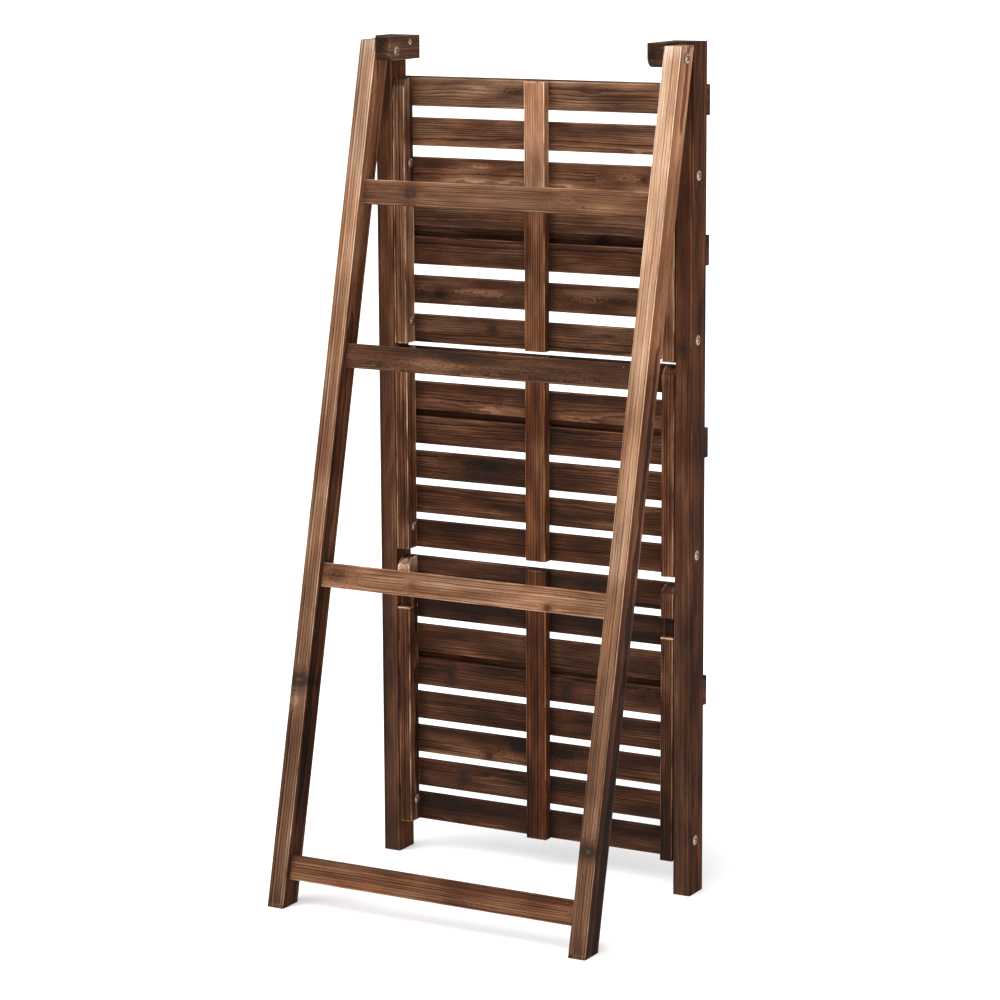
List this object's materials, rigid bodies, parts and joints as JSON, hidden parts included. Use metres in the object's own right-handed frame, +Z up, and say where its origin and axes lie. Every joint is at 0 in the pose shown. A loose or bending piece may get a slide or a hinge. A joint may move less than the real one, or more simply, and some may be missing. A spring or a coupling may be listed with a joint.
{
  "type": "plant ladder stand",
  "caption": "Folding wooden ladder stand for plants: a front frame of posts and rails, a hinged rear frame, and slatted shelves that fold up between the posts.",
  "frame": {"origin": "middle of the footprint of the open stand, at floor level", "axes": "+X along the width, +Y from the front frame to the rear legs, +Z up"},
  "size_m": [0.508, 0.3694, 1.193],
  "materials": {
    "post_wood": "scorched, satin",
    "rail_wood": "scorched, satin",
    "block_wood": "scorched, satin",
    "leg_wood": "lightly scorched, satin",
    "rung_wood": "scorched, satin",
    "batten_wood": "scorched, satin",
    "centre_wood": "lightly scorched, satin",
    "slat_wood": "scorched, satin",
    "plated_steel": "zinc plated, warm tone"
  },
  "bodies": {
    "front_frame": {"post_left": "post_wood", "post_right": "post_wood", "rail_1": "rail_wood", "rail_2": "rail_wood", "rail_3": "rail_wood", "rail_4": "rail_wood", "block_left": "block_wood", "block_right": "block_wood", "leg_pins": "plated_steel", "shelf_pins": "plated_steel", "shelf_washers": "plated_steel", "block_screws": "plated_steel", "rail_screws": "plated_steel"},
    "rear_frame": {"leg_left": "leg_wood", "leg_right": "leg_wood", "rung_1": "rung_wood", "rung_2": "rung_wood", "rung_3": "rung_wood", "rung_4": "rung_wood"},
    "shelf_1": {"batten_left_1": "batten_wood", "batten_right_1": "batten_wood", "centre_batten_1": "centre_wood", "slat_1_1": "slat_wood", "slat_1_2": "slat_wood", "slat_1_3": "slat_wood"},
    "shelf_2": {"batten_left_2": "batten_wood", "batten_right_2": "batten_wood", "centre_batten_2": "centre_wood", "slat_2_1": "slat_wood", "slat_2_2": "slat_wood", "slat_2_3": "slat_wood", "slat_2_4": "slat_wood"},
    "shelf_3": {"batten_left_3": "batten_wood", "batten_right_3": "batten_wood", "centre_batten_3": "centre_wood", "slat_3_1": "slat_wood", "slat_3_2": "slat_wood", "slat_3_3": "slat_wood", "slat_3_4": "slat_wood", "slat_3_5": "slat_wood", "slat_3_6": "slat_wood"},
    "shelf_4": {"batten_left_4": "batten_wood", "batten_right_4": "batten_wood", "centre_batten_4": "centre_wood", "slat_4_1": "slat_wood", "slat_4_2": "slat_wood", "slat_4_3": "slat_wood", "slat_4_4": "slat_wood", "slat_4_5": "slat_wood", "slat_4_6": "slat_wood", "slat_4_7": "slat_wood", "slat_4_8": "slat_wood"}
  },
  "joints": [
    {"name": "leg_hinge", "type": "hinge", "parent": "front_frame", "child": "rear_frame", "pos_m": [0, -0.10987, 1.1725], "axis": [1, 0, 0], "range_deg": [-13.2, 0]},
    {"name": "shelf_1_hinge", "type": "hinge", "parent": "front_frame", "child": "shelf_1", "pos_m": [0, -0.14965, 1.013], "axis": [-1, 0, 0], "range_deg": [0, 90]},
    {"name": "shelf_2_hinge", "type": "hinge", "parent": "front_frame", "child": "shelf_2", "pos_m": [0, -0.14965, 0.788], "axis": [-1, 0, 0], "range_deg": [0, 90]},
    {"name": "shelf_3_hinge", "type": "hinge", "parent": "front_frame", "child": "shelf_3", "pos_m": [0, -0.14965, 0.4875], "axis": [-1, 0, 0], "range_deg": [0, 90]},
    {"name": "shelf_4_hinge", "type": "hinge", "parent": "front_frame", "child": "shelf_4", "pos_m": [0, -0.14965, 0.0785], "axis": [-1, 0, 0], "range_deg": [0, 90]}
  ]
}
